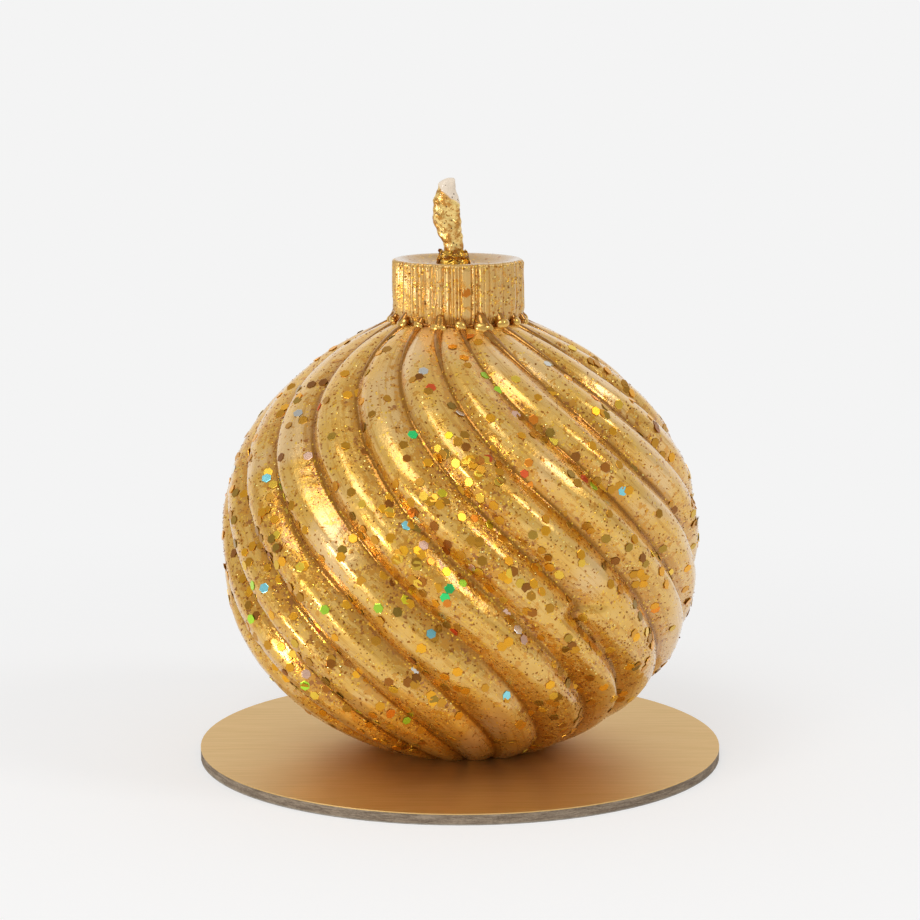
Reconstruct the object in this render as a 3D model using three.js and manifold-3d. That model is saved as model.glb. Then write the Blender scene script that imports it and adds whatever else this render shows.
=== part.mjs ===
// A candle cast in the shape of a swirled glass bauble, standing on a round gold cake board.
// Sizes are in millimetres. +Z is up, the front faces -Y, and the origin is the middle of the
// board's underside. Heights of the candle's own pieces are counted from the board's face.
import * as THREE from "three";
import { mergeVertices } from "three/addons/utils/BufferGeometryUtils.js";
import Module from "manifold-3d";

const wasm = await Module();
wasm.setup();

// Gap kept between pieces that fit into or around each other, and how far a cutter runs past
const clearance = 0.3;
const overcut = 1;

// Cake board, three layers glued face to face
const boardRadius = 50;
const linerThickness = 0.2;
const coreThickness = 1.7;
const foilThickness = 0.2;
const boardSides = 96;

// The casting stands a little to the right on the board and leans to the left as it rises
const seatShift = 0.5;
const leanPerHeight = 0.0102;

// Ribbed ball: the crest line is two half superellipses that meet at its widest level, cut off
// flat at the base and at the seat of the cap
const ballRadius = 45.4;
const upperReach = 43.2;
const upperRoundness = 2.08;
const upperFullness = 1.58;
const lowerReach = 44.4;
const lowerRoundness = 2.6;
const lowerFullness = 1.71;
const baseCut = 2.8;
const seatCut = 3;
const ballLevels = 28;

// Ribs: rounded lobes with sharp valleys, turning by a fixed angle for each millimetre of height
const ribCount = 19;
const ribDepth = 3;
const ribCrestFlatness = 2.3;
const ribDepthTaper = 0.6;
const ribTwist = THREE.MathUtils.degToRad(1.39);
const ribPhase = THREE.MathUtils.degToRad(1.4);
const ribStations = [0, 0.13, 0.36, 0.64, 0.87];

// Fluted cap on top of the ball
const capRadius = 12.4;
const capHeight = 11.7;
const capFootRadius = 11.7;
const capFootHeight = 2.2;
const capRimRounding = 0.7;
const fluteCount = 48;
const fluteDepth = 0.32;
const fluteStations = [0, 0.25, 0.75];
const rimWidth = 0.9;
const dishDepth = 1.6;
const dishHollow = 1.6;
const dishSteps = 6;

// Wick, its bore and the stamped tab that holds its foot
const wickRadius = 1.5;
const wickOffset = -0.8;
const tabRadius = 10;
const tabThickness = 0.3;
const crimpHeight = 5;
const crimpWall = 0.4;
const boreSides = 32;

// Lacquer that pooled round the wick's root and in the corner under the cap
const moundHeight = 3.3;
const moundFootRadius = 3.3;
const moundTopRadius = 2.3;
const moundLump = 0.35;
const moundLumps = 2;
const moundSteps = 8;
const beadRadius = 0.85;
const threadRadius = 0.3;
const beadStations = [-0.24, -0.17, -0.06, 0.06, 0.17, 0.24];
const beadReach = 0.25;
const beadSides = 6;

// Bare end of the wick, from root to tip, in shares of its length, widest half and largest lean
const tipLength = 13.5;
const tipHalfWidth = 2.7;
const tipLean = -1.35;
const tipStations = [
  { rise: 0.067, width: 0.65, lean: 0 },
  { rise: 0.19, width: 0.81, lean: 0.3 },
  { rise: 0.34, width: 0.93, lean: 0.74 },
  { rise: 0.45, width: 1, lean: 1 },
  { rise: 0.69, width: 0.93, lean: 0.81 },
  { rise: 0.8, width: 0.7, lean: 0.89 },
  { rise: 0.93, width: 0.57, lean: 0.74 },
  { rise: 1, width: 0.3, lean: 0.3 },
];
const tipRootRadius = 1.7;
const tipFlatness = 0.7;
const tipFlatFrom = 0.33;
const tipLevels = 16;
const tipSides = 12;
const tipRootLevels = 4;

const boardThickness = linerThickness + coreThickness + foilThickness;
const equatorHeight = lowerReach - baseCut;
const capSeatHeight = equatorHeight + upperReach - seatCut;
const boreRadius = wickRadius + clearance;
const crimpRadius = boreRadius + crimpWall;
const capTopHeight = capSeatHeight + capHeight;
const dishFloorHeight = capTopHeight - dishDepth;
const rimInner = capRadius - rimWidth;
const dishFloorRadius = moundFootRadius + moundLump + Math.abs(wickOffset) + clearance;
const tipRootHeight = dishFloorHeight + moundHeight;
const tabHeight = clearance;
const discSides = 2 * boreSides;

const lacquer = { color: 0xc9a05a, roughness: 0.32, metalness: 0.75 };
const pooledLacquer = { color: 0xb47a22, roughness: 0.18, metalness: 0.8 };
const foil = { color: 0xc4995c, roughness: 0.35, metalness: 0.9 };
const greyboard = { color: 0x8f7f6c, roughness: 0.95, metalness: 0 };
const paper = { color: 0xe6e1d6, roughness: 0.9, metalness: 0 };
const cotton = { color: 0xf2ead9, roughness: 0.8, metalness: 0 };
const tinplate = { color: 0xc2c4c6, roughness: 0.35, metalness: 1 };

// A named mesh with its own material.
function piece(name, geometry, finish) {
  const mesh = new THREE.Mesh(geometry, new THREE.MeshStandardMaterial(finish));
  mesh.name = name;
  return mesh;
}

// A closed geometry as a solid that can be joined and cut.
function solidFrom(geometry) {
  const bare = geometry.clone();
  bare.deleteAttribute("normal");
  bare.deleteAttribute("uv");
  const merged = mergeVertices(bare, 1e-4);
  const vertProperties = new Float32Array(merged.attributes.position.array);
  const triVerts = new Uint32Array(merged.index.array);
  return new wasm.Manifold(new wasm.Mesh({ numProp: 3, vertProperties, triVerts }));
}

function geometryFrom(solid) {
  const mesh = solid.getMesh();
  const geometry = new THREE.BufferGeometry();
  geometry.setAttribute("position", new THREE.BufferAttribute(mesh.vertProperties, 3));
  geometry.setIndex(new THREE.BufferAttribute(mesh.triVerts, 1));
  return geometry;
}

function cutOut(geometry, ...tools) {
  const cut = tools.reduce((solid, tool) => solid.subtract(solidFrom(tool)), solidFrom(geometry));
  return geometryFrom(cut);
}

// An upright cylinder between two heights.
function upright(radius, low, high, sides, x = 0) {
  const cylinder = new THREE.CylinderGeometry(radius, radius, high - low, sides);
  return cylinder.rotateX(Math.PI / 2).translate(x, 0, (low + high) / 2);
}

// A solid of revolution round the Z axis from [radius, height] points.
function turned(outline, sides) {
  const points = outline.map(([radius, height]) => new THREE.Vector2(radius, height));
  return new THREE.LatheGeometry(points, sides).rotateX(Math.PI / 2);
}

// Faces between equal rings listed one after another, the last joined to the first if closed.
function facesBetween(rings, closed) {
  const count = rings[0].length;
  const bands = closed ? rings.length : rings.length - 1;
  const faces = [];
  for (let band = 0; band < bands; band++) {
    const low = band * count;
    const high = ((band + 1) % rings.length) * count;
    for (let j = 0; j < count; j++) {
      const next = (j + 1) % count;
      faces.push(low + j, low + next, high + next);
      faces.push(low + j, high + next, high + j);
    }
  }
  return faces;
}

// A solid from rings listed bottom first, each anticlockwise seen from above, whose two ends
// are closed with a fan round the ring's middle.
function stack(rings) {
  const count = rings[0].length;
  const top = rings[rings.length - 1];
  const topStart = rings.length * count - count;
  const middle = (ring) =>
    ring.reduce((sum, p) => sum.add(p), new THREE.Vector3()).divideScalar(count);
  const points = [...rings.flat(), middle(rings[0]), middle(top)];
  const faces = facesBetween(rings, false);
  for (let j = 0; j < count; j++) {
    const next = (j + 1) % count;
    faces.push(points.length - 2, next, j);
    faces.push(points.length - 1, topStart + j, topStart + next);
  }
  return new THREE.BufferGeometry().setFromPoints(points).setIndex(faces);
}

// A solid ring from rings that run round the axis, the last one meeting the first.
function hoop(rings) {
  const faces = facesBetween(rings, true);
  return new THREE.BufferGeometry().setFromPoints(rings.flat()).setIndex(faces);
}

// The point at an angle from the front (-Y), turning towards +X.
function around(angle, radius, height) {
  return new THREE.Vector3(radius * Math.sin(angle), -radius * Math.cos(angle), height);
}

function lerp(from, to, share) {
  return THREE.MathUtils.lerp(from, to, share);
}

// Radius of the ball's crest line at a height.
function crestRadius(height) {
  const upper = height > equatorHeight;
  const reach = upper ? upperReach : lowerReach;
  const roundness = upper ? upperRoundness : lowerRoundness;
  const fullness = upper ? upperFullness : lowerFullness;
  const share = Math.min(1, Math.abs(height - equatorHeight) / reach);
  return ballRadius * (1 - share ** roundness) ** (1 / fullness);
}

// How deep the valleys lie under the crest line, less where the ribs crowd at the poles.
function valleyDepth(radius) {
  return ribDepth * (radius / ballRadius) ** ribDepthTaper;
}

function ribAngle(rib, height) {
  return ribPhase + (rib * 2 * Math.PI) / ribCount - ribTwist * (height - equatorHeight);
}

function ballRing(height) {
  const crest = crestRadius(height);
  const ring = [];
  for (let rib = 0; rib < ribCount; rib++) {
    for (const share of ribStations) {
      const drop = valleyDepth(crest) * Math.abs(2 * share - 1) ** ribCrestFlatness;
      ring.push(around(ribAngle(rib + share, height), crest - drop, height));
    }
  }
  return ring;
}

// The ball from its flat base to the seat of the cap, bored for the wick and recessed for its tab.
function waxBall() {
  const lowest = -Math.asin(Math.min(1, equatorHeight / lowerReach));
  const highest = Math.asin(Math.min(1, (capSeatHeight - equatorHeight) / upperReach));
  const rings = [];
  for (let level = 0; level <= ballLevels; level++) {
    const angle = lerp(lowest, highest, level / ballLevels);
    const reach = angle > 0 ? upperReach : lowerReach;
    rings.push(ballRing(equatorHeight + reach * Math.sin(angle)));
  }
  const pocketTop = tabHeight + crimpHeight + clearance;
  const recessTop = tabHeight + tabThickness + clearance;
  const over = capSeatHeight + overcut;
  return cutOut(
    stack(rings),
    upright(boreRadius, -overcut, over, boreSides, wickOffset),
    upright(crimpRadius + clearance, -overcut, pocketTop, boreSides, wickOffset),
    upright(tabRadius + clearance, -overcut, recessTop, discSides, wickOffset),
  );
}

// Radius of the cap's wall over the seat, where its foot draws in.
function capWallRadius(height) {
  const share = Math.min(1, (height - capSeatHeight) / capFootHeight);
  return lerp(capFootRadius, capRadius, share);
}

function fluteRing(radius, height, depth) {
  const ring = [];
  for (let flute = 0; flute < fluteCount; flute++) {
    for (const share of fluteStations) {
      const angle = ((flute + share) * 2 * Math.PI) / fluteCount;
      ring.push(around(angle, share === 0 ? radius - depth : radius, height));
    }
  }
  return ring;
}

// The space over the cap's dished top.
function dishTool() {
  const outline = [[0, dishFloorHeight]];
  for (let step = 0; step <= dishSteps; step++) {
    const share = step / dishSteps;
    const height = dishFloorHeight + dishDepth * share ** dishHollow;
    outline.push([lerp(dishFloorRadius, rimInner, share), height]);
  }
  const over = capTopHeight + overcut;
  outline.push([rimInner, over], [0, over]);
  return turned(outline, discSides);
}

// The cap: fluted wall, drawn-in foot, rounded rim, dished top and the bore for the wick.
function waxCap() {
  const softRadius = capRadius - capRimRounding * (1 - Math.SQRT1_2);
  const softHeight = capTopHeight - capRimRounding * (1 - Math.SQRT1_2);
  const rings = [
    fluteRing(capFootRadius, capSeatHeight, fluteDepth),
    fluteRing(capRadius, capSeatHeight + capFootHeight, fluteDepth),
    fluteRing(capRadius, capTopHeight - capRimRounding, fluteDepth),
    fluteRing(softRadius, softHeight, fluteDepth / 2),
    fluteRing(capRadius - capRimRounding, capTopHeight, 0),
  ];
  const under = capSeatHeight - overcut;
  const bore = upright(boreRadius, under, capTopHeight, boreSides, wickOffset);
  return cutOut(stack(rings), dishTool(), bore);
}

// The length of wick inside the wax, from the tab's underside to just under the bare end.
function wickCore() {
  const top = tipRootHeight - tipRootRadius - clearance;
  return upright(wickRadius, tabHeight, top, boreSides / 2, wickOffset);
}

// The bare end: a round root centred on the bend, then a flattened, leaning and tapering strip.
function wickTip() {
  const curveThrough = (value) =>
    new THREE.SplineCurve(tipStations.map((s) => new THREE.Vector2(tipLength * s.rise, value(s))));
  const widths = curveThrough((s) => tipHalfWidth * s.width);
  const leans = curveThrough((s) => tipLean * s.lean);
  const section = (height, halfWidth, halfDepth, lean) => {
    const ring = [];
    for (let side = 0; side < tipSides; side++) {
      const angle = (side * 2 * Math.PI) / tipSides;
      const x = wickOffset + lean + halfWidth * Math.sin(angle);
      const y = -halfDepth * Math.cos(angle);
      ring.push(new THREE.Vector3(x, y, tipRootHeight + height));
    }
    return ring;
  };
  const rings = [];
  for (let level = 1; level <= tipRootLevels; level++) {
    const angle = ((level / tipRootLevels - 1) * Math.PI) / 2;
    const radius = tipRootRadius * Math.cos(angle);
    rings.push(section(tipRootRadius * Math.sin(angle), radius, radius, 0));
  }
  for (let level = 0; level <= tipLevels; level++) {
    const share = level / tipLevels;
    const { x: height, y: halfWidth } = widths.getPoint(share);
    const flatness = lerp(1, tipFlatness, Math.min(1, share / tipFlatFrom));
    rings.push(section(height, halfWidth, halfWidth * flatness, leans.getPoint(share).y));
  }
  return stack(rings);
}

// The tab: a thin disc with a crimped collar round the wick.
function wickTab() {
  const top = tabHeight + crimpHeight;
  const face = tabHeight + tabThickness;
  const outline = [
    [boreRadius, tabHeight],
    [tabRadius, tabHeight],
    [tabRadius, face],
    [crimpRadius, face],
    [crimpRadius, top],
    [boreRadius, top],
    [boreRadius, tabHeight],
  ];
  return turned(outline, discSides).translate(wickOffset, 0, 0);
}

// The mound of lacquer and glitter round the wick's root, standing on the dish's floor.
function lacquerMound() {
  const hole = tipRootRadius + clearance;
  const top = tipRootHeight - clearance;
  const outline = [[hole, dishFloorHeight]];
  for (let step = 0; step <= moundSteps; step++) {
    const share = step / moundSteps;
    const lump = moundLump * Math.abs(Math.sin(share * moundLumps * Math.PI));
    const radius = lerp(moundFootRadius, moundTopRadius, share) + lump;
    outline.push([radius, lerp(dishFloorHeight, top, share)]);
  }
  outline.push([hole, top], [hole, dishFloorHeight]);
  return turned(outline, boreSides).translate(wickOffset, 0, 0);
}

// The thread of lacquer in the corner under the cap, swollen to a round bead over each valley.
function lacquerBeads() {
  const footSlope = Math.atan((capRadius - capFootRadius) / capFootHeight);
  const sections = [];
  for (let rib = 0; rib < ribCount; rib++) {
    for (const share of beadStations) {
      const swell = Math.sqrt(1 - (share / beadReach) ** 2);
      const radius = lerp(threadRadius, beadRadius, swell);
      const height = capSeatHeight + clearance + radius;
      const reach = capWallRadius(height) + (clearance + radius) / Math.cos(footSlope);
      sections.push({ angle: ribAngle(rib + share, capSeatHeight), radius, height, reach });
    }
  }
  const rings = [];
  for (let side = 0; side < beadSides; side++) {
    const turn = (side * 2 * Math.PI) / beadSides;
    const beadPoint = ({ angle, radius, height, reach }) =>
      around(angle, reach + radius * Math.cos(turn), height + radius * Math.sin(turn));
    rings.push(sections.map(beadPoint));
  }
  return hoop(rings);
}

function cakeBoard() {
  const board = new THREE.Group();
  const coreTop = linerThickness + coreThickness;
  const layer = (low, high) => upright(boardRadius, low, high, boardSides);
  board.add(piece("board_liner", layer(0, linerThickness), paper));
  board.add(piece("board_core", layer(linerThickness, coreTop), greyboard));
  board.add(piece("board_foil", layer(coreTop, boardThickness), foil));
  return board;
}

function baubleCandle() {
  const candle = new THREE.Group();
  candle.add(piece("wax_ball", waxBall(), lacquer));
  candle.add(piece("wax_cap", waxCap(), lacquer));
  candle.add(piece("cap_lacquer_beads", lacquerBeads(), pooledLacquer));
  candle.add(piece("wick_root_lacquer", lacquerMound(), pooledLacquer));
  candle.add(piece("wick_core", wickCore(), cotton));
  candle.add(piece("wick_tip", wickTip(), lacquer));
  candle.add(piece("wick_tab", wickTab(), tinplate));
  candle.matrix.makeTranslation(seatShift, 0, boardThickness);
  candle.matrix.multiply(new THREE.Matrix4().makeShear(0, 0, 0, 0, -leanPerHeight, 0));
  candle.matrixAutoUpdate = false;
  return candle;
}

const part = new THREE.Group();
part.add(cakeBoard(), baubleCandle());

export default part;
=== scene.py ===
import math
import random

import bpy
import numpy as np
from mathutils import Matrix, Vector, noise


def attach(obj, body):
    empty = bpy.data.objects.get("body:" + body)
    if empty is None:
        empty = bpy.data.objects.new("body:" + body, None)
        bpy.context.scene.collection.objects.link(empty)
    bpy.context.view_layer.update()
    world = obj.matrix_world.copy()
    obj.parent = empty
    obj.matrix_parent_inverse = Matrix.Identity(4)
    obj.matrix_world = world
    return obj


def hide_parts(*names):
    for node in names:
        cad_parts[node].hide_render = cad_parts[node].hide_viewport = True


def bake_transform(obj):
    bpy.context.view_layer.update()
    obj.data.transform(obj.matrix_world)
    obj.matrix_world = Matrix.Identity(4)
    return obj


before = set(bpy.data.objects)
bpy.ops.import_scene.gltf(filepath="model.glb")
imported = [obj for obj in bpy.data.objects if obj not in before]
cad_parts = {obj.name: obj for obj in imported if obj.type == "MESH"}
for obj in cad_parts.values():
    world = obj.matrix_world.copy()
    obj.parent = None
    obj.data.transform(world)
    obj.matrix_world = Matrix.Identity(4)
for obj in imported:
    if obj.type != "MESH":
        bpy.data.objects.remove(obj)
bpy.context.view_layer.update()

mm = 0.001
fullTurn = 2 * math.pi


# Camera, level with the cap and looking a little down
cameraSet = {"place": (0, -0.54583, 0.14842), "tilt": 9.4956, "lens": 113.7, "film": 36}


def setCamera():
    data = bpy.data.cameras.new("camera")
    data.lens = cameraSet["lens"]
    data.sensor_width = cameraSet["film"]
    camera = bpy.data.objects.new("camera", data)
    camera.location = cameraSet["place"]
    camera.rotation_euler = (math.radians(90 - cameraSet["tilt"]), 0, 0)
    bpy.context.collection.objects.link(camera)
    bpy.context.scene.camera = camera


setCamera()
bpy.context.scene.view_settings.view_transform = "Standard"
print("camera set")


# Shader building: a Value is one socket, and sums on it add Math nodes
class Value:
    def __init__(self, finish, socket):
        self.finish, self.socket = finish, socket

    def __add__(self, other):
        return self.finish.maths("ADD", self, other)

    def __radd__(self, other):
        return self.finish.maths("ADD", other, self)

    def __sub__(self, other):
        return self.finish.maths("SUBTRACT", self, other)

    def __rsub__(self, other):
        return self.finish.maths("SUBTRACT", other, self)

    def __mul__(self, other):
        return self.finish.maths("MULTIPLY", self, other)

    def __rmul__(self, other):
        return self.finish.maths("MULTIPLY", other, self)


class Finish:
    def __init__(self, name, owner=None):
        self.data = owner or bpy.data.materials.new(name)
        self.data.use_nodes = True
        self.tree = self.data.node_tree
        self.tree.nodes.clear()

    def node(self, kind, settings=(), values=(), out=0):
        node = self.tree.nodes.new("ShaderNode" + kind)
        for name, value in dict(settings).items():
            setattr(node, name, value)
        for name, value in dict(values).items():
            self.feed(self.pick(node.inputs, name), value)
        return Value(self, self.pick(node.outputs, out))

    def pick(self, sockets, name):
        if isinstance(name, int):
            return sockets[name]
        return next(s for s in sockets if s.name == name and s.enabled)

    def feed(self, socket, value):
        if isinstance(value, Value):
            self.tree.links.new(value.socket, socket)
        else:
            socket.default_value = value

    def maths(self, operation, *values):
        return self.node("Math", {"operation": operation}, dict(enumerate(values)))

    def place(self):
        return self.node("TexCoord", out="Object")

    def stretch(self, place, scale):
        return self.node("VectorMath", {"operation": "MULTIPLY"}, {0: place, 1: scale})

    def noise(self, place, size, detail=2, roughness=0.5):
        return self.node("TexNoise", (), {"Vector": place, "Scale": 1 / size, "Detail": detail,
                                          "Roughness": roughness}, "Fac")

    def cells(self, place, size, out="Distance"):
        return self.node("TexVoronoi", (), {"Vector": place, "Scale": 1 / size}, out)

    def wander(self, place, size, reach):
        cloud = self.node("TexNoise", (), {"Vector": place, "Scale": 1 / size, "Detail": 2}, "Color")
        return self.node("VectorMath", {"operation": "MULTIPLY_ADD"},
                         {0: cloud, 1: (reach,) * 3, 2: place})

    def fade(self, value, low, high, start=0, end=1):
        return self.node("MapRange", {"interpolation_type": "SMOOTHSTEP", "clamp": True},
                         {"Value": value, "From Min": low, "From Max": high,
                          "To Min": start, "To Max": end})

    def mix(self, share, first, second):
        first = first if isinstance(first, Value) else (*first, 1)
        second = second if isinstance(second, Value) else (*second, 1)
        return self.node("Mix", {"data_type": "RGBA"},
                         {"Factor": share, "A": first, "B": second}, "Result")

    def bump(self, height, depth, strength=1):
        return self.node("Bump", (), {"Height": height, "Distance": depth, "Strength": strength})

    def attribute(self, name, out="Fac"):
        return self.node("Attribute", {"attribute_name": name}, (), out)

    def surface(self, values):
        self.show(self.node("BsdfPrincipled", (), values))

    def show(self, shader, output="OutputMaterial"):
        node = self.tree.nodes.new("ShaderNode" + output)
        self.tree.links.new(shader.socket, node.inputs["Surface"])


# Meshes: points are given in millimetres and kept in metres
def makePiece(name, points, faces, material, smooth=True):
    mesh = bpy.data.meshes.new(name)
    mesh.from_pydata((np.asarray(points, float) * mm).tolist(), [], faces)
    mesh.validate()
    mesh.shade_smooth() if smooth else mesh.shade_flat()
    mesh.materials.append(material)
    piece = bpy.data.objects.new(name, mesh)
    bpy.context.collection.objects.link(piece)
    return piece


def addNumbers(piece, name, numbers):
    layer = piece.data.attributes.new(name, "FLOAT", "POINT")
    layer.data.foreach_set("value", np.asarray(numbers, np.float32).ravel())


def addPlaces(piece, name, places):
    layer = piece.data.attributes.new(name, "FLOAT_VECTOR", "POINT")
    layer.data.foreach_set("vector", (np.asarray(places) * mm).astype(np.float32).ravel())


def addColours(piece, name, colours):
    layer = piece.data.attributes.new(name, "FLOAT_COLOR", "POINT")
    full = np.hstack([colours, np.ones((len(colours), 1))])
    layer.data.foreach_set("color", full.astype(np.float32).ravel())


def bandFaces(rings, sides, closed=False):
    faces = []
    for ring in range(rings if closed else rings - 1):
        low, high = ring * sides, (ring + 1) % rings * sides
        faces += [(low + i, low + (i + 1) % sides, high + (i + 1) % sides, high + i)
                  for i in range(sides)]
    return faces


def ease(share):
    share = np.clip(share, 0, 1)
    return share * share * (3 - 2 * share)


def hill(distance, width):
    return np.exp(-(distance / width) ** 2)


# The candle leans on its board, so its pieces are made upright and then set on it
stand = {"shift": 0.5, "lean": 0.0102, "height": 2.1}


def onBoard(points):
    points = np.array(points, float)
    points[..., 0] += stand["shift"] - stand["lean"] * points[..., 2]
    points[..., 2] += stand["height"]
    return points


def around(angle, radius, height):
    return np.stack(np.broadcast_arrays(radius * np.sin(angle), -radius * np.cos(angle), height), -1)


# Ribbed ball. Sizes repeat those of the solid, with the unevenness of the casting added
ball = {"radius": 45.4, "equator": 41.6, "top": 81.8,
        "upper": (43.2, 2.08, 1.58), "lower": (44.4, 2.6, 1.71),  # reach and the two powers of the curve
        "ribs": 19, "depth": 3.0, "depthTaper": 0.6,
        "twist": math.radians(1.39), "phase": math.radians(1.4),
        "crest": 0.5, "shoulder": 0.3, "shoulderSoftness": 0.08, "crown": 0.1, "troughSoftness": 0.03,
        "sway": 0.012, "swell": 0.08, "dents": 0.14, "dentScale": 0.13, "dentFade": 3,
        "levels": 200, "levelEvenness": 0.55, "sidesPerRib": 24,
        # seat of the cap, bore, pocket and recess for the wick's tab, as radius and height
        "hollow": ((8, 81.8), (1.8, 81.8), (1.8, 5.6), (2.5, 5.6), (2.5, 0.9), (10.3, 0.9), (10.3, 0))}
# One valley kinks low on the right, where the rib beside it widens
kink = {"valley": 1, "shift": 0.27, "width": 0.55, "start": 35.4, "over": 2.6, "end": 4, "fade": 8}


def crestRadius(height):
    above = height > ball["equator"]
    pick = [np.where(above, up, low) for up, low in zip(ball["upper"], ball["lower"])]
    share = np.minimum(1, np.abs(height - ball["equator"]) / pick[0])
    return ball["radius"] * (1 - share ** pick[1]) ** (1 / pick[2])


def ribTurns(angle, height):
    turned = angle + ball["twist"] * (height - ball["equator"]) - ball["phase"]
    turns = turned * ball["ribs"] / fullTurn
    sway = (np.sin(3 * angle + 0.06 * height + 1.1) + np.sin(7 * angle - 0.09 * height)
            + 0.7 * np.sin(11 * angle + 0.05 * height + 2))
    turns = turns + ball["sway"] * sway * ease(height / 12)
    gap = (turns - kink["valley"] + ball["ribs"] / 2) % ball["ribs"] - ball["ribs"] / 2
    low = ease((kink["start"] - height) / kink["over"]) * ease((height - kink["end"]) / kink["fade"])
    return turns + kink["shift"] * hill(gap, kink["width"]) * low


def ribDrop(share):
    # A rib's face is nearly flat, and straight flanks run from its shoulders down to sharp valleys
    crest, soft = ball["crest"], ball["shoulderSoftness"]
    side = np.abs(np.where(share < crest, 1 - share / crest, (share - crest) / (1 - crest)))
    past, whole = side - ball["shoulder"], 1 - ball["shoulder"]
    ramp = (np.hypot(past, soft) + past) / (np.hypot(whole, soft) + whole)
    return (1 - ball["crown"]) * ramp + ball["crown"] * side ** 2


def ballRadius(angle, height):
    turns = ribTurns(angle, height)
    share = turns - np.floor(turns)
    soft = ball["troughSoftness"]
    drop = (ribDrop(share) + ribDrop((share + soft) % 1) + ribDrop((share - soft) % 1)) / 3
    crest = crestRadius(height)
    swell = 1 + ball["swell"] * np.sin(5 * angle + 0.11 * height) * np.sin(9 * angle - 0.07 * height + 1)
    depth = ball["depth"] * swell * (crest / ball["radius"]) ** ball["depthTaper"]
    return crest - depth * drop, drop


def makeBall(material):
    count = ball["ribs"] * ball["sidesPerRib"]
    angle = np.arange(count) * fullTurn / count
    # Levels lie closer together near the top and the base
    step, even = np.linspace(0, 1, ball["levels"]), ball["levelEvenness"]
    heights = ball["top"] * (even * step + (1 - even) * (1 - np.cos(math.pi * step)) / 2)
    angles, levels = np.meshgrid(angle, heights)
    radius, drop = ballRadius(angles, levels)
    places = around(angles, radius, levels)
    dents = [noise.fractal(Vector(p) * ball["dentScale"], 1, 2, 3) for p in places.reshape(-1, 3)]
    dents = np.array(dents).reshape(levels.shape)
    fade = ease(levels / ball["dentFade"]) * ease((ball["top"] - levels) / ball["dentFade"])
    radius = radius + ball["dents"] * dents * fade
    rings = [around(angle, radius[i], heights[i]) for i in range(len(heights))]
    rings += [centred(angle, r, h) for r, h in ball["hollow"]]
    inside = len(ball["hollow"]) * count
    faces = bandFaces(len(rings), count, True)
    piece = makePiece("ball_wax", onBoard(np.concatenate(rings)), faces, material)
    # The groove value is how far down into a valley a point lies, which the finish paints as shade; the
    # hollow inside is painted in full shade
    addNumbers(piece, "groove", np.concatenate([drop.ravel(), np.ones(inside)]))
    turns = (angles.ravel() + math.pi) % fullTurn - math.pi
    addNumbers(piece, "dust", [thickness(a, h) for a, h in zip(turns, levels.ravel())] + [0] * inside)
    # Places with the twist taken out, so that streaks follow the ribs
    straight = around(angles + ball["twist"] * levels, ball["radius"], 0.16 * levels).reshape(-1, 3)
    addPlaces(piece, "along", np.concatenate([straight, np.zeros((inside, 3))]))
    sharpenEdges(piece)
    return piece


def centred(angle, radius, height):
    return around(angle, radius, height) + np.array([wick["offset"], 0, 0])


def sharpenEdges(piece, degrees=50):
    piece.data.set_sharp_from_angle(angle=math.radians(degrees))


# Fluted cap
cap = {"foot": 81.8, "top": 93.5, "radius": 12.4, "footRadius": 11.8, "footHeight": 2.3, "rounding": 0.7,
       "sides": 768, "footLevels": (0, 0.5, 1, 1.5, 2, 2.5, 3), "wallFrom": 85.4, "wallLevels": 14,
       # grooves seen in front, in degrees round, then the steps between those behind
       "grooves": [-46.2, -42, -37.4, -32.5, -23.7, -20.5, -13.2, -6.8, 2.6, 12.2, 18.8, 29, 34.5, 44.6,
                   55.4, 62.8],
       "grooveSteps": (4.2, 5.1, 6.4, 8.6), "fineStep": 2.9, "seed": 11,
       # How much the flutes and, below, the dish towards the wick are darkened with painted shade, as
       # shares
       "grooveDepth": 0.34, "grooveWidth": 1.3, "grooveShade": 0.78,
       "dishRadius": 11.3, "dishDepth": 1.6, "dishLevels": 26, "dishShade": 0.8, "bore": 1.8, "dust": 0.9}


def grooveAngles(dice):
    places, angle = list(cap["grooves"]), cap["grooves"][-1]
    while angle < 360 + cap["grooves"][0] - 6:
        angle += dice.choice(cap["grooveSteps"])
        places.append(angle)
    places.append(places[0] + 360)
    fine = []
    for low, high in zip(places, places[1:]):
        parts = max(1, round((high - low) / cap["fineStep"]))
        fine += [low + (high - low) * k / parts for k in range(1, parts)]
    return places[:-1], fine


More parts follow.
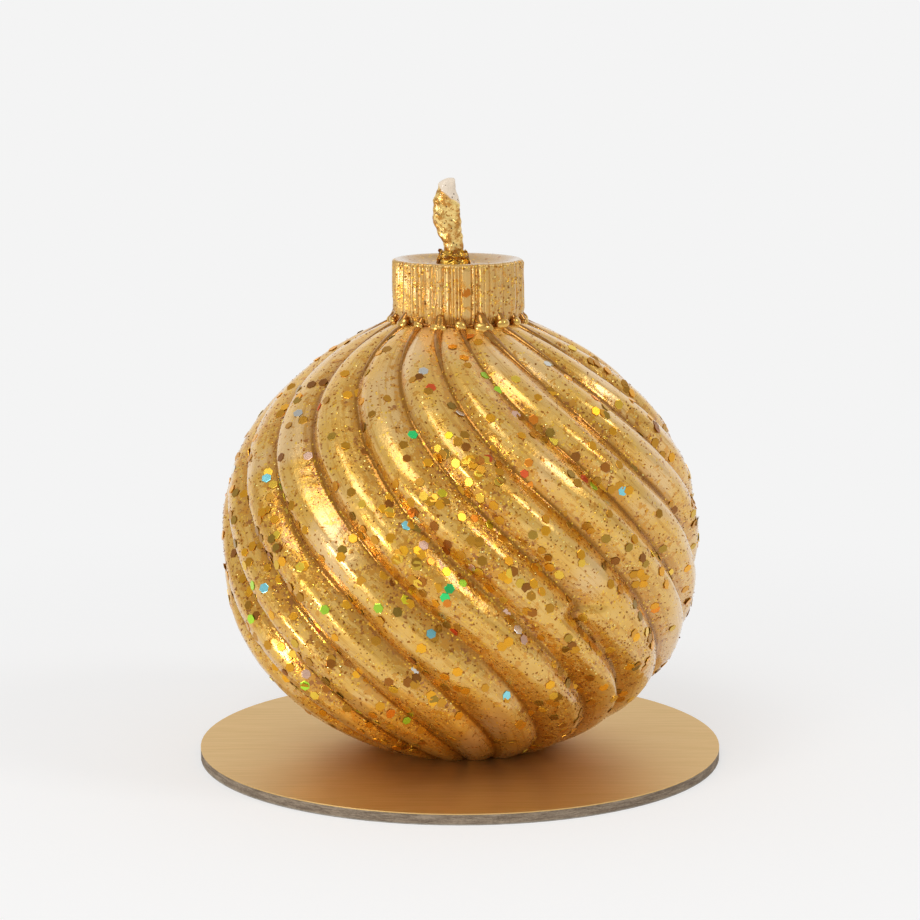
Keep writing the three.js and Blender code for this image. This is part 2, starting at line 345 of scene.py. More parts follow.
def makeCap(material):
    dice = random.Random(cap["seed"])
    count = cap["sides"]
    angle = np.arange(count) * fullTurn / count
    degrees = np.degrees(angle)
    carve = np.zeros(count)
    main, fine = grooveAngles(dice)
    for place, low, high, wide in [(p, 0.8, 1.2, 1) for p in main] + [(p, 0.2, 0.75, 0.65) for p in fine]:
        depth, width = dice.uniform(low, high), cap["grooveWidth"] * wide * dice.uniform(0.75, 1.2)
        gap = (degrees - place + 180) % 360 - 180
        carve = np.maximum(carve, depth * hill(gap, width))
    carve = cap["grooveDepth"] * carve
    waves = 0.07 * (np.sin(5 * angle + 1) + np.sin(9 * angle + 2) + np.sin(14 * angle))
    rings, grooves = [], []
    top, rounding = cap["top"], cap["rounding"]
    heights = [cap["foot"] + h for h in cap["footLevels"]]
    heights += list(np.linspace(cap["wallFrom"], top - rounding, cap["wallLevels"]))
    for height in heights:
        taper = ease((height - cap["foot"] - 0.2) / cap["footHeight"])
        radius = cap["footRadius"] + (cap["radius"] - cap["footRadius"]) * taper
        wander = 0.05 * np.sin(3 * angle + 0.7 * height) + 0.03 * np.sin(height * 1.3 + 8 * angle)
        fullness = 0.45 + 0.55 * taper
        rings.append(around(angle, radius - carve * fullness + (waves + wander) * taper, height))
        grooves.append(cap["grooveShade"] * carve / cap["grooveDepth"])
    for turn in np.linspace(0.2, 1, 5) * math.pi / 2:
        lift, draw = rounding * math.sin(turn), rounding * (1 - math.cos(turn))
        keep = math.cos(turn) ** 0.7
        radius = cap["radius"] - draw - carve * keep + waves * keep
        rings.append(around(angle, radius, top - rounding + lift))
        grooves.append(cap["grooveShade"] * carve / cap["grooveDepth"] * keep)
    wallRings = len(rings)
    for share in np.linspace(0, 1, cap["dishLevels"]):
        radius = cap["dishRadius"] * (1 - share) + cap["bore"] * share
        depth = cap["dishDepth"] * ease((1 - radius / cap["dishRadius"]) * 2.6) ** 0.8
        ripple = 0.05 * np.sin(2 * angle + radius) + 0.04 * np.sin(3 * angle - radius * 1.3)
        ring = around(angle, radius, top - depth + ripple * ease(share * 6))
        ring[:, 0] += wick["offset"] * share
        rings.append(ring)
        grooves.append(np.full(count, cap["dishShade"] * ease((share - 0.2) / 0.4)))
    rings.append(centred(angle, cap["bore"], cap["foot"]))
    grooves.append(np.zeros(count))
    faces = bandFaces(len(rings), count, True)
    piece = makePiece("cap_wax", onBoard(np.concatenate(rings)), faces, material)
    addNumbers(piece, "groove", np.concatenate(grooves))
    dust = [cap["dust"]] * wallRings + [0] * (len(rings) - wallRings)
    addNumbers(piece, "dust", np.repeat(dust, count))
    straight = [around(angle, cap["radius"], 0.2 * ring[:, 2] + np.hypot(ring[:, 0], ring[:, 1]))
                for ring in rings]
    addPlaces(piece, "along", np.concatenate(straight))
    sharpenEdges(piece)
    return piece


# Lacquer drops that hang in the valleys under the cap, each with a neck above and a run below it
drops = {"height": 81.9, "seed": 5, "size": (1.05, 1.6), "big": {2: 1.75, 4: 2.1, 11: 1.9},
         "run": (3.5, 9), "runSteps": 9, "sides": 20, "rings": 14,
         "collar": 0.3, "collarSteps": 380, "collarSides": 12,
         "runTone": 0.7, "collarTone": 0.9}  # how dark the lacquer is, as a share


def makeDrops(material):
    dice = random.Random(drops["seed"])
    points, faces, rims = [], [], []
    for rib in range(ball["ribs"]):
        size = drops["big"].get(rib, dice.uniform(*drops["size"]))
        height = drops["height"] + dice.uniform(-0.35, 0.25)
        angle = valleyAngle(rib, height)
        heart = [(angle, cap["footRadius"] + 0.4 + 0.3 * size, height)]
        swerve = dice.uniform(-0.03, 0.03)
        neck = [(angle + swerve, cap["footRadius"] - 0.1, height + 0.6 + size), *heart]
        low = height - dice.uniform(*drops["run"])
        levels = np.linspace(height - 0.3, low, drops["runSteps"])
        turns = [valleyAngle(rib, level) for level in levels]
        run = heart + [(turn, float(ballRadius(np.array(turn), np.array(level))[0]) - 0.05, level)
                       for turn, level in zip(turns, levels)]
        widths = np.linspace(0.85, 0.12, len(run)) * size ** 0.5
        addBead(points, faces, rims, around(*heart[0]), size, dice)
        addTube(points, faces, [around(*place) for place in neck], [0.4 * size, 0.8 * size])
        addTube(points, faces, [around(*place) for place in run], widths)
        rims += [drops["runTone"]] * (len(points) - len(rims))
    addCollar(points, faces)
    piece = makePiece("cap_lacquer_drops", onBoard(points), faces, material)
    addNumbers(piece, "rim", rims + [drops["collarTone"]] * (len(points) - len(rims)))
    return piece


def valleyAngle(rib, height):
    # Where a valley runs, found step by step, since the ribs sway and kink
    angle = ball["phase"] + rib * fullTurn / ball["ribs"] - ball["twist"] * (height - ball["equator"])
    for _ in range(6):
        angle -= (float(ribTurns(angle, height)) - rib) * fullTurn / ball["ribs"]
    return angle


def addRings(points, faces, rings):
    first, sides = len(points), len(rings[0])
    for ring in rings:
        points += list(ring)
    faces += [tuple(first + n for n in face) for face in bandFaces(len(rings), sides)]
    faces += [tuple(first + i for i in range(sides))[::-1],
              tuple(len(points) - sides + i for i in range(sides))]


def addBead(points, faces, rims, centre, size, dice):
    # Painted shade: the bead darkens towards its rim, away from where it faces outward
    squash, lean = dice.uniform(0.68, 1.05), dice.uniform(-0.35, 0.35)
    angle = np.arange(drops["sides"]) * fullTurn / drops["sides"]
    outward = np.array([centre[0], centre[1], 0]) / math.hypot(centre[0], centre[1])
    rings = []
    for turn in np.linspace(0.05, math.pi - 0.05, drops["rings"]):
        ring = around(angle, size * math.sin(turn), -size * squash * math.cos(turn))
        rims += list(1 - ring @ outward / size)
        ring -= np.outer(ring @ outward, outward) * 0.2
        ring[:, 0] += lean * ring[:, 2]
        rings.append(centre + ring)
    addRings(points, faces, rings)


def addTube(points, faces, path, widths):
    path = np.array(path)
    step = np.linspace(0, len(path) - 1, 3 * len(path))
    line = np.stack([np.interp(step, range(len(path)), path[:, i]) for i in range(3)], 1)
    width = np.interp(step, range(len(path)), widths)
    ahead = np.gradient(line, axis=0)
    angle = np.arange(drops["sides"]) * fullTurn / drops["sides"]
    rings = []
    for place, way, radius in zip(line, ahead, width):
        outward = np.array([place[0], place[1], 0]) / math.hypot(place[0], place[1])
        side = np.cross(way, outward)
        side /= np.linalg.norm(side)
        up = np.cross(side, way) / np.linalg.norm(way)
        rings.append(place + radius * (np.outer(np.cos(angle), side) + np.outer(np.sin(angle), up)))
    addRings(points, faces, rings)


def addCollar(points, faces):
    # Lacquer drawn into the corner all round
    count, sides = drops["collarSteps"], drops["collarSides"]
    ring = np.arange(sides) * fullTurn / sides
    first = len(points)
    for i in range(count):
        angle = i * fullTurn / count
        wave = (1 + 0.3 * math.sin(19 * angle + 1) + 0.25 * math.sin(31 * angle)
                + 0.2 * math.sin(7 * angle))
        thick = drops["collar"] * wave
        middle = around(angle, cap["footRadius"] + 0.2, cap["foot"] + 0.25)
        points += [middle + around(angle, thick * math.cos(a), thick * 1.2 * math.sin(a)) for a in ring]
    faces += [tuple(first + n for n in face) for face in bandFaces(count, sides, True)]


# Wick. Its outline gives the left and right edge at each height over the board's face
wick = {"offset": -0.8, "radius": 1.5, "foot": 0.9, "sides": 40,
        "inside": [20, 45, 70, 88, 91], "step": 0.22,
        "outline": [(92, -2.9, 0.5), (94.6, -3.0, 0.5), (95.5, -3.2, 0.62), (96.6, -3.15, 0.5),
                    (97.7, -3.9, 0.61), (98.9, -4.27, 0.42), (100, -4.84, 0.24), (101.1, -5.4, 0.05),
                    (102.2, -5.21, -0.14), (103.4, -5.02, 0.05), (104.5, -5.02, 0.05),
                    (105.6, -4.64, -0.51), (106.7, -4.26, -0.89), (107.7, -4.08, -0.89),
                    (108.4, -3.1, -0.89), (108.65, -2.3, -1.2)],
        "flatness": 0.72, "strands": 3, "strandTwist": 0.55, "strandDepth": 0.14}


def makeWick(material):
    count = wick["sides"]
    angle = np.arange(count) * fullTurn / count
    outline = np.array(wick["outline"])
    low = [wick["foot"] + 0.05] + wick["inside"]
    heights = np.concatenate([low, np.arange(92, 108.5, wick["step"]), [108.55, 108.65]])
    rings = []
    for height in heights:
        left, right = (np.interp(height, outline[:, 0], outline[:, i]) for i in (1, 2))
        middle, half = (left + right) / 2, (right - left) / 2
        above = ease((height - 92.5) / 2)
        middle = (1 - above) * (wick["offset"] + stand["shift"] - stand["lean"] * height) + above * middle
        half = (1 - above) * wick["radius"] + above * half
        thick = min(half, wick["radius"] + 0.2) * (1 - above * (1 - wick["flatness"]))
        strands = 1 + above * wick["strandDepth"] * (np.abs(np.sin(
            wick["strands"] * angle / 2 + wick["strandTwist"] * height)) - 0.75)
        lumps = 1 + above * 0.05 * np.sin(5 * angle + height * 2.3) * np.sin(height * 1.7 + 1)
        shrink = strands * lumps
        rings.append(np.stack([middle + half * shrink * np.sin(angle), -thick * shrink * np.cos(angle),
                               np.full(count, height + stand["height"])], -1))
    points = np.concatenate(rings)
    faces = bandFaces(len(rings), count)
    faces += [tuple(range(count))[::-1], tuple(len(points) - count + i for i in range(count))]
    piece = makePiece("wick_cord", points, faces, material)
    addPlaces(piece, "unbent", points)
    return piece


# Lump of lacquer and glitter round the wick's root
mound = {"low": 91.6, "high": 95.1, "foot": 3.1, "top": 2.1, "tier": 0.35, "lump": 0.45,
         "sides": 64, "rings": 22, "bore": 1.3}


def makeMound(material):
    count = mound["sides"]
    angle = np.arange(count) * fullTurn / count
    rings = []
    for share in np.linspace(0, 1, mound["rings"]):
        height = mound["low"] + (mound["high"] - mound["low"]) * share
        tiers = mound["tier"] * abs(math.sin(share * math.pi * 1.9)) ** 0.7
        radius = mound["foot"] + (mound["top"] - mound["foot"]) * share ** 0.8 + tiers
        spots = [Vector((math.sin(a) * 2.1, math.cos(a) * 2.1, height * 1.1)) for a in angle]
        lumps = np.array([noise.fractal(spot, 0.8, 2, 3) for spot in spots])
        radius = radius + mound["lump"] * lumps * (1 if share < 0.95 else 0.3)
        rings.append(centred(angle, radius, height))
    rings += [centred(angle, mound["bore"], mound["high"]), centred(angle, mound["bore"], mound["low"])]
    faces = bandFaces(len(rings), count, True)
    return makePiece("wick_root_clump", onBoard(np.concatenate(rings)), faces, material)


# Glitter. Sizes, lifts off the wax and thicknesses are in mm, and a tilt is how far the flakes lean
glitter = {"seed": 20, "coarse": 1250, "fine": 15500, "onCap": 700, "onClump": 90,
           "capFlake": (0.12, 88.4),  # angle and height of the one flake on the cap's wall
           "coarseSize": 0.98, "coarseLift": 0.07, "coarseThick": 0.05, "coarseTilt": 0.08,
           "fineSize": 0.175, "fineLift": 0.03, "fineTilt": 0.16,
           # where it lies thick: degrees round, height, spread in mm, strength
           "clusters": [(52, 62, 16, 1.1), (-60, 58, 13, 3.2), (-3, 42, 11, 3.0), (-45, 22, 15, 2.4),
                        (8, 60, 10, 2.4), (-20, 14, 12, 2.2), (40, 22, 14, 1.6), (-52, 40, 10, 1.8),
                        (-10, 52, 9, 2.0), (20, 34, 12, 1.4), (110, 50, 22, 1.8), (170, 30, 20, 2.0),
                        (-130, 55, 20, 2.0), (-160, 20, 15, 1.4), (140, 70, 12, 1.6)]}

# Common flake tints with their shares, and the rare ones that shine out, placed one by one
tints = {"ochre": ((0.64, 0.29, 0.018), 28), "olive": ((0.42, 0.24, 0.025), 12),
         "amber": ((0.95, 0.43, 0.015), 30), "brown": ((0.38, 0.12, 0.008), 9),
         "gold": ((1.0, 0.62, 0.06), 16), "yellow": ((1.0, 0.8, 0.03), 0.7),
         "orange": ((1.0, 0.3, 0.02), 1.1), "red": ((0.95, 0.12, 0.03), 0.5),
         "lime": ((0.45, 0.8, 0.05), 0.35), "green": ((0.02, 0.75, 0.2), 0.1),
         "cyan": ((0.3, 0.85, 0.95), 0.2), "white": ((0.95, 0.95, 0.9), 0.2),
         "pink": ((0.95, 0.6, 0.45), 0.3)}
fineTints = [(1, 0.6, 0.06), (0.85, 0.42, 0.02), (0.5, 0.2, 0.01), (0.32, 0.11, 0.006), (1, 0.78, 0.25)]
# Degrees round and height
brightFlakes = {
    "cyan": [(44.5, 54.4), (-7, 31), (-53.2, 35.8), (-40, 30.8), (-59, 55.2), (-12.8, 50.2), (12, 18.4)],
    "green": [(-2.5, 39.6), (-13.8, 65.2)],
    "lime": [(-32.8, 34.2), (-18.8, 35.6), (-46.8, 17.6), (-62.2, 28.6), (15, 72.2), (11.2, 74.6),
             (36, 55.8), (-51.2, 54.4), (-17.2, 12.4), (-57.5, 35.8), (0.5, 40.2)],
    "yellow": [(-78, 71), (-32.2, 13.4), (-3.2, 42.4), (-68, 64.4), (-48, 53), (-4.2, 56), (7.3, 50.4)],
    "orange": [(-21, 14), (-53, 24.4), (-3, 37), (51.5, 69.8), (24, 67.4), (19, 56.6), (18.2, 60.8),
               (-11.8, 52.4)],
    "red": [(-38.5, 29.6), (-1.8, 31.2), (7.5, 61.6), (17.2, 58.8), (-50, 68.4), (33.5, 57.2),
            (-50.3, 51.6)],
    "white": [(0.5, 68.8), (-58, 66.8), (-14.5, 75.4), (-12, 23.4)],
    "pink": [(18.5, 68.4), (-46.5, 19.8), (15, 29.6), (-45.8, 60.2)]}


def thickness(angle, height):
    # How thick the glitter lies at a place: clusters and wandering clouds
    degrees = math.degrees(angle)
    amount = 0.9
    for place, level, spread, strength in glitter["clusters"]:
        across = ((degrees - place + 180) % 360 - 180) * 0.75
        amount += strength * math.exp(-(across ** 2 + (height - level) ** 2) / spread ** 2)
    cloud = noise.noise(Vector((math.sin(angle) * 4, math.cos(angle) * 4, height * 0.09)))
    return amount * (1 + 1.3 * cloud)


def scatter(dice, count, valleyPull):
    # Places by chance, thicker in the clusters and towards the valleys
    places = []
    while len(places) < count:
        height = dice.uniform(1.5, 81)
        angle = dice.uniform(-math.pi, math.pi)
        if dice.random() > float(crestRadius(np.array(height))) / ball["radius"]:
            continue
        turns = float(ribTurns(angle, height))
        edge = abs(2 * (turns - math.floor(turns)) - 1)
        if dice.random() * 4.5 < thickness(angle, height) * (1 + valleyPull * edge ** 3):
            places.append((angle, height))
    return np.array(places)


def seats(places):
    # Points on the ball and the directions straight off the wax there
    angle, height = places[:, 0], places[:, 1]
    step = 0.006

    def at(a, h):
        return onBoard(around(a, ballRadius(a, h)[0], h))

    middle = at(angle, height)
    across = at(angle + step, height) - at(angle - step, height)
    upward = at(angle, height + 0.2) - at(angle, height - 0.2)
    normal = np.cross(across, upward)
    return middle, normal / np.linalg.norm(normal, axis=1, keepdims=True)


def flakePoints(centre, normal, size, dice):
    # One six-sided flake, lying on the wax with a slight tilt
    tall, tilt = glitter["coarseThick"], glitter["coarseTilt"]
    lean = Vector(normal) + Vector((dice.gauss(0, tilt), dice.gauss(0, tilt), dice.gauss(0, tilt)))
    turn = lean.to_track_quat("Z", "Y").to_matrix() @ Matrix.Rotation(dice.uniform(0, 2), 3, "Z")
    ring = [(math.cos(k * math.pi / 3), math.sin(k * math.pi / 3)) for k in range(6)]
    shape = [(x * size * w, y * size * w, z)
             for w, z in ((1, -tall), (1, tall * 0.6), (0.9, tall)) for x, y in ring]
    return [Vector(centre) + turn @ Vector(p) for p in shape]


def flakeFaces(first):
    faces = [tuple(first + n for n in face) for face in bandFaces(3, 6)]
    return faces + [tuple(first + i for i in range(6))[::-1], tuple(first + 12 + i for i in range(6))]


def strayFlakes(dice):
    # One flake on the cap's wall, and the clump round the wick's root
    turn, level = glitter["capFlake"]
    strays = [(onBoard(around(turn, cap["radius"] + 0.02, level)), around(turn, 1, 0), "orange", 1)]
    for _ in range(glitter["onClump"]):
        angle, share = dice.uniform(0, fullTurn), dice.random()
        radius = mound["foot"] + (mound["top"] - mound["foot"]) * share ** 0.8 + 0.25
        height = mound["low"] + 0.2 + (mound["high"] - mound["low"] - 0.3) * share
        place = onBoard(centred(angle, radius, height))
        facing = around(angle + dice.gauss(0, 0.4), 1, dice.gauss(0.3, 0.5))
        name = dice.choice(("brown", "amber", "gold", "brown"))
        strays.append((place, facing / np.linalg.norm(facing), name, dice.uniform(0.35, 0.6)))
    return strays


def makeCoarseGlitter(material):
    dice = random.Random(glitter["seed"])
    places = list(map(tuple, scatter(dice, glitter["coarse"], 0.6)))
    names = dice.choices(list(tints), [tint[1] for tint in tints.values()], k=len(places))
    for name, spots in brightFlakes.items():
        places += [(math.radians(angle), height) for angle, height in spots]
        names += [name] * len(spots)
    middles, normals = seats(np.array(places))
    points, faces, colours = [], [], []
    onBall = zip(middles, normals, names, [1] * len(names))
    for middle, normal, name, scale in [*onBall, *strayFlakes(dice)]:
        size = glitter["coarseSize"] * scale * dice.choice((1, 1, 1, 0.96, 0.85))
        faces += flakeFaces(len(points))
        shape = flakePoints(middle + normal * glitter["coarseLift"], normal, size, dice)
        points += shape
        shade = dice.uniform(0.66, 1.15)
        colours += [np.minimum(1, np.array(tints[name][0]) * shade)] * len(shape)
    piece = makePiece("coarse_glitter", points, faces, material, smooth=False)
    addColours(piece, "tint", np.array(colours))
    return piece


def makeFineGlitter(material):
    dice = random.Random(glitter["seed"] + 1)
    middles, normals = seats(scatter(dice, glitter["fine"], 1.6))
    onCap = [(dice.uniform(0, fullTurn), dice.uniform(82.6, 93.2)) for _ in range(glitter["onCap"])]
    middles = np.concatenate([middles, [onBoard(around(a, cap["radius"] - 0.06, h)) for a, h in onCap]])
    normals = np.concatenate([normals, [around(a, 1, 0) for a, h in onCap]])
    points, faces, colours = [], [], []
    for middle, normal in zip(middles, normals):
        size = glitter["fineSize"] * dice.uniform(0.7, 1.25)
        lean = Vector(normal) + Vector([dice.gauss(0, glitter["fineTilt"]) for _ in range(3)])
        turn = lean.to_track_quat("Z", "Y").to_matrix() @ Matrix.Rotation(dice.uniform(0, 2), 3, "Z")
        corners = [k * fullTurn / 5 for k in range(5)]
        ring = [(size * math.cos(corner), size * math.sin(corner), 0) for corner in corners]
        first = len(points)
        centre = Vector(middle + normal * glitter["fineLift"])
        shape = [centre + turn @ Vector(p) for p in ring + [(0, 0, 0.02), (0, 0, -0.05)]]
        points += shape
        for k in range(5):
            after = first + (k + 1) % 5
            faces += [(first + k, after, first + 5), (after, first + k, first + 6)]
        colours += [dice.choice(fineTints)] * len(shape)
    piece = makePiece("fine_glitter", points, faces, material, smooth=False)
    addColours(piece, "tint", np.array(colours))
    return piece


# Finishes
# The deep brown and the valley brown are painted shade for the valleys; the other browns and golds are the
# wax's own flecks
waxSet = {"deep": (0.57, 0.25, 0.018), "amber": (0.72, 0.31, 0.01), "honey": (0.66, 0.31, 0.018),
          "rust": (0.4, 0.13, 0.006), "valley": (0.34, 0.13, 0.008), "gilt": (1.0, 0.6, 0.04),
          "roughness": 0.3, "coat": 0.9, "metal": 0.64}
ballTones = {"gold": (0.85, 0.48, 0.07), "pale": (0.91, 0.6, 0.18), "matte": (0.89, 0.6, 0.275)}
# The cap's tones are the ball's gold made darker, painted shade to tone down how bright the cap shows,
# with a slightly redder tint
capShadedTones = {"gold": (0.73, 0.42, 0.075), "pale": (0.77, 0.5, 0.16), "matte": (0.56, 0.34, 0.135)}


def goldWax(name, tones):
    # Pearly gold wax, matte between the glitter, with ragged flecks, and painted shade darkening the
    # valleys
    finish = Finish(name)
    place = finish.place()
    ragged = finish.wander(place, 0.0006, 0.0009)
    groove, glitterDust = finish.attribute("groove"), finish.attribute("dust")
    streak = finish.noise(finish.attribute("along", "Vector"), 0.0011, 3, 0.65)
    cloud = finish.noise(place, 0.006, 4, 0.6)
    grain = finish.noise(place, 0.0008, 3, 0.65)
    tone = finish.mix(finish.fade(cloud, 0.35, 0.7) * 0.6, tones["gold"], tones["pale"])
    tone = finish.mix(finish.fade(glitterDust, 0.3, 1.3, 1, 0) * 0.75, tone, tones["matte"])
    # Painted shade: down into the valleys between the ribs, and in the cap's flutes and dish, the wax
    # darkens to a deep brown; the same mask makes it glossier there
    valleyShade = finish.fade(groove + 0.7 * (streak - 0.5), 0.42, 0.85)
    tone = finish.mix(valleyShade * 0.75, tone, waxSet["deep"])
    runs = finish.fade(streak + 0.04 * glitterDust + 0.1 * groove, 0.58, 0.68)
    tone = finish.mix(runs * 0.6, tone, waxSet["honey"])
    flecks = finish.noise(ragged, 0.0014, 2, 0.6)
    amber = finish.fade(flecks + 0.03 * glitterDust + 0.14 * groove, 0.645, 0.7)
    tone = finish.mix(amber * 0.85, tone, waxSet["amber"])
    spots = finish.noise(ragged, 0.0011, 2, 0.6)
    rust = finish.fade(spots + 0.02 * glitterDust + 0.1 * groove, 0.7, 0.74)
    tone = finish.mix(rust * 0.9, tone, waxSet["rust"])
    # Painted shade: a darker brown line along each valley's bottom, with less coat there
    valley = finish.fade(groove + 0.16 * (streak - 0.5), 0.8, 0.93) * 0.9
    tone = finish.mix(valley, tone, waxSet["valley"])
    speck, pick = (finish.cells(ragged, 0.001, out) for out in ("Distance", "Color"))
    dark = finish.fade(speck, 0.2, 0.26, 1, 0) * finish.fade(pick, 0.5, 0.51)
    tone = finish.mix(dark, tone, waxSet["rust"])
    spark, pick = (finish.cells(ragged, 0.0009, out) for out in ("Distance", "Color"))
    gilt = finish.fade(spark, 0.22, 0.28, 1, 0) * finish.fade(pick + 0.09 * glitterDust, 0.62, 0.64)
    tone = finish.mix(gilt * 0.9, tone, waxSet["gilt"])
    rough = waxSet["roughness"] + 0.14 * (grain - 0.5) - 0.1 * valleyShade - 0.1 * amber
    height = cloud * 0.5 + grain * 0.1 + flecks * 0.3 + streak * 0.12
    finish.surface({"Base Color": tone, "Metallic": waxSet["metal"], "Roughness": rough,
                    "Coat Weight": waxSet["coat"] * (1 - dark) * (1 - valley), "Coat Roughness": 0.1,
                    "Normal": finish.bump(height, 0.0005, 0.6)})
    return finish.data


def pooledLacquer(name, base, dark, rimShare):
    # Thick lacquer, darkened towards a drop's rim with painted shade or, where that has no share, darker
    # in clouds
    finish = Finish(name)
    place = finish.place()
    clump = finish.noise(place, 0.0011, 3, 0.6)
    shade = finish.attribute("rim") * rimShare + clump * (1 - rimShare)
    tone = finish.mix(finish.fade(shade, 0.4, 0.75), base, dark)
    finish.surface({"Base Color": tone, "Metallic": 0.85, "Roughness": 0.14 + 0.12 * clump,
                    "Coat Weight": 0.5, "Coat Roughness": 0.04, "Normal": finish.bump(clump, 0.0002, 0.4)})
    return finish.data


def flakeFilm(name, roughness):
    finish = Finish(name)
    place = finish.place()
    haze = finish.noise(place, 0.0008, 2)
    tint = finish.attribute("tint", "Color")
    tone = finish.mix(0.14 * haze, tint, (0.5, 0.35, 0.1))
    finish.surface({"Base Color": tone, "Metallic": 0.88, "Roughness": roughness + 0.15 * haze,
                    "Coat Weight": 0.15, "Coat Roughness": 0.08})
    return finish.data


def wickFinish():
    # Gold lacquer over waxed cotton, worn off to white wax at the slanting tip
    finish = Finish("wick_gold_and_white_wax")
    place = finish.attribute("unbent", "Vector")  # so that the finish stays put when the wick bends
    height = finish.node("SeparateXYZ", (), {0: place}, "Z")
    side = finish.node("SeparateXYZ", (), {0: place}, "X")
    patch = finish.noise(place, 0.0018, 3, 0.6)
    flecks = finish.noise(place, 0.0007, 3, 0.7)
    bare = finish.fade(height + 0.9 * side + 0.0022 * (patch - 0.5), 0.1052, 0.1059)
    gold = finish.mix(finish.fade(patch, 0.44, 0.6), (1.0, 0.71, 0.24), (0.58, 0.26, 0.03))
    gold = finish.mix(finish.fade(flecks, 0.56, 0.62), gold, (0.5, 0.22, 0.02))
    speck = finish.fade(finish.cells(place, 0.0011), 0.12, 0.16, 1, 0)
    tone = finish.mix(bare, gold, (0.9, 0.76, 0.6))
    tone = finish.mix(speck * 0.9, tone, (0.1, 0.04, 0.005))
    finish.surface({"Base Color": tone, "Metallic": 0.6 * (1 - bare), "Roughness": 0.25 + 0.3 * bare,
                    "Coat Weight": 0.4, "Coat Roughness": 0.1,
                    "Normal": finish.bump(flecks * 0.15 + patch, 0.0006, 0.6)})
    return finish.data


def brushedFoil():
    finish = Finish("board_gold_foil")
    place = finish.place()
    stroke = finish.noise(finish.stretch(place, (0.04, 1, 1)), 0.0007, 4, 0.7)
    wide = finish.noise(finish.stretch(place, (0.1, 1, 1)), 0.006, 3, 0.6)
    tone = finish.mix(finish.fade(stroke, 0.35, 0.65), (0.74, 0.49, 0.18), (0.81, 0.55, 0.235))
    finish.surface({"Base Color": tone, "Metallic": 0.94, "Roughness": 0.4 + 0.08 * wide + 0.08 * stroke,
                    "Normal": finish.bump(stroke, 0.00006, 0.5)})
    return finish.data


def cutCard(name, light, dark):
    finish = Finish(name)
    place = finish.place()
    layer = finish.noise(finish.stretch(place, (1, 1, 9)), 0.004, 5, 0.7)
    fibre = finish.noise(finish.stretch(place, (1, 1, 3)), 0.0006, 3, 0.7)
    tone = finish.mix(finish.fade(layer + 0.5 * fibre, 0.55, 0.95), light, dark)
    finish.surface({"Base Color": tone, "Roughness": 0.85, "Normal": finish.bump(fibre, 0.0003, 0.8)})
    return finish.data


def tinplate():
    finish = Finish("tab_tinplate")
    place = finish.place()
    stain = finish.noise(place, 0.003, 4, 0.6)
    tone = finish.mix(stain, (0.62, 0.62, 0.61), (0.45, 0.44, 0.42))
    finish.surface({"Base Color": tone, "Metallic": 1.0, "Roughness": 0.3 + 0.2 * stain})
    return finish.data


ballPiece = makeBall(goldWax("ball_gold_wax", ballTones))
capPiece = makeCap(goldWax("cap_gold_wax", capShadedTones))
print("ball and cap made")
dropPiece = makeDrops(pooledLacquer("drop_lacquer", (0.8, 0.47, 0.1), (0.36, 0.13, 0.008), 0.75))
moundPiece = makeMound(pooledLacquer("clump_lacquer", (0.78, 0.43, 0.045), (0.14, 0.05, 0.003), 0))
wickPiece = makeWick(wickFinish())
print("lacquer and wick made")
coarsePiece = makeCoarseGlitter(flakeFilm("coarse_flake_film", 0.2))
finePiece = makeFineGlitter(flakeFilm("fine_flake_film", 0.15))
print("glitter laid")

for piece in (ballPiece, capPiece, dropPiece, moundPiece, coarsePiece, finePiece):
    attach(piece, "candle")
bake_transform(wickPiece)
for piece, node, slot in ((ballPiece, "wax_ball", "gold_wax"), (capPiece, "wax_cap", "gold_wax"),
                          (dropPiece, "cap_lacquer_beads", "gold_lacquer"),
                          (moundPiece, "wick_root_lacquer", "gold_lacquer")):
    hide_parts(node)
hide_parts("wick_core", "wick_tip")


def coverNode(name, material):
    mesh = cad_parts[name].data
    mesh.materials.clear()
    mesh.materials.append(material)


coverNode("board_foil", brushedFoil())
coverNode("board_core", cutCard("board_cut_card", (0.5, 0.39, 0.28), (0.22, 0.16, 0.11)))
coverNode("board_liner", cutCard("board_lining_paper", (0.5, 0.46, 0.4), (0.38, 0.34, 0.29)))
coverNode("wick_tab", tinplate())


# White table and studio
studio = {"white": 0.905, "backdrop": 0.62, "room": 0.52, "table": 0.58, "tableGlow": 0.455,
          "shadowReach": (0.1, 0.24), "tableSize": 30}
rayKinds = ("Is Camera Ray", "Is Transmission Ray", "Is Glossy Ray")


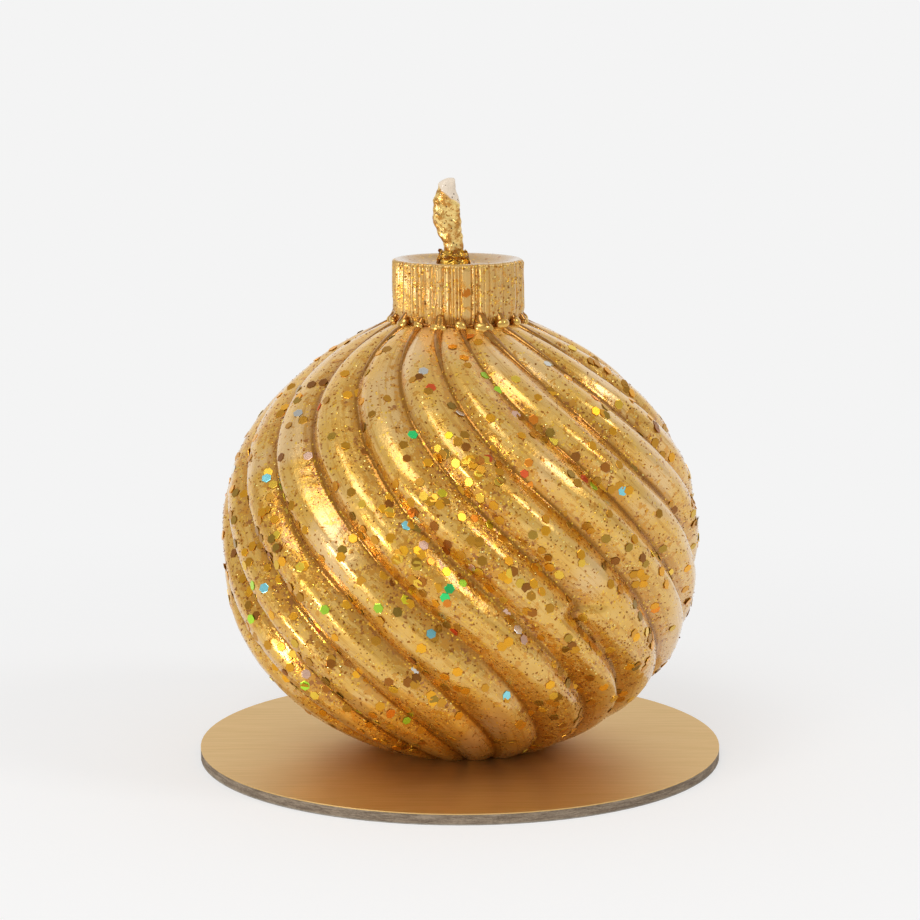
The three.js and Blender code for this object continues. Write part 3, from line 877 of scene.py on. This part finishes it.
def makeFloor():
    # White to the camera and in reflections, with enough plain white in it to keep the shadow
    finish = Finish("white_table")
    reach = finish.node("VectorMath", {"operation": "LENGTH"}, {0: finish.place()}, "Value")
    far = finish.fade(reach, *studio["shadowReach"])
    table = finish.node("BsdfDiffuse", (), {"Color": (studio["table"],) * 3 + (1,)})
    ray = [finish.node("LightPath", out=kind) for kind in rayKinds]
    seen = finish.maths("MAXIMUM", finish.maths("MAXIMUM", ray[0], ray[1]), ray[2])
    near = finish.node("Emission", (), {"Color": (1, 1, 1, 1), "Strength": studio["tableGlow"] * seen})
    both = finish.node("AddShader", (), {0: table, 1: near})
    glow = finish.node("Emission", (), {"Color": (1, 1, 1, 1), "Strength": studio["white"]})
    finish.show(finish.node("MixShader", (), {0: far, 1: both, 2: glow}))
    mesh = bpy.data.meshes.new("floor")
    size = studio["tableSize"]
    corners = [(-size, -size, 0), (size, -size, 0), (size, size, 0), (-size, size, 0)]
    mesh.from_pydata(corners, [], [(0, 1, 2, 3)])
    mesh.materials.append(finish.data)
    floor = bpy.data.objects.new("floor", mesh)
    bpy.context.collection.objects.link(floor)


def setWorld():
    # White to the camera, and in reflections of what is behind. The room in front is softer
    world = bpy.data.worlds.new("studio")
    bpy.context.scene.world = world
    finish = Finish("", world)
    ray = [finish.node("LightPath", out=kind) for kind in rayKinds]
    depth = finish.node("SeparateXYZ", (), {0: finish.node("TexCoord", out="Generated")}, "Y")
    behind = finish.fade(depth, 0.3, 0.75)
    lit = studio["room"] + (studio["backdrop"] - studio["room"]) * behind
    seen = finish.maths("MAXIMUM", finish.maths("MAXIMUM", ray[0], ray[1]), ray[2] * behind)
    strength = lit + (studio["white"] - lit) * seen
    sky = finish.node("Background", (), {"Color": (1, 1, 1, 1), "Strength": strength})
    finish.show(sky, "OutputWorld")


# Turn and rise in degrees round the candle, the rest in metres
lamps = {"left_softbox": {"turn": -45, "rise": 3, "distance": 0.9, "size": (0.22, 0.14), "radiance": 15},
         "top_softbox": {"turn": -28, "rise": 56, "distance": 0.9, "size": (0.5, 0.36), "radiance": 3},
         "right_lamp": {"turn": 67, "rise": 40, "distance": 1.2, "size": (0.3, 0.3), "radiance": 6}}


def setLamps():
    aim = Vector((0, 0, 0.05))
    for name, lamp in lamps.items():
        turn, rise = math.radians(lamp["turn"]), math.radians(lamp["rise"])
        data = bpy.data.lights.new(name, "AREA")
        data.shape, data.size, data.size_y = "RECTANGLE", *lamp["size"]
        data.energy = lamp["radiance"] * math.pi * lamp["size"][0] * lamp["size"][1]
        out = Vector((math.cos(rise) * math.sin(turn), -math.cos(rise) * math.cos(turn), math.sin(rise)))
        light = bpy.data.objects.new(name, data)
        light.location = aim + out * lamp["distance"]
        light.rotation_euler = out.to_track_quat("Z", "Y").to_euler()
        bpy.context.collection.objects.link(light)


makeFloor()
setWorld()
setLamps()
print("studio set")
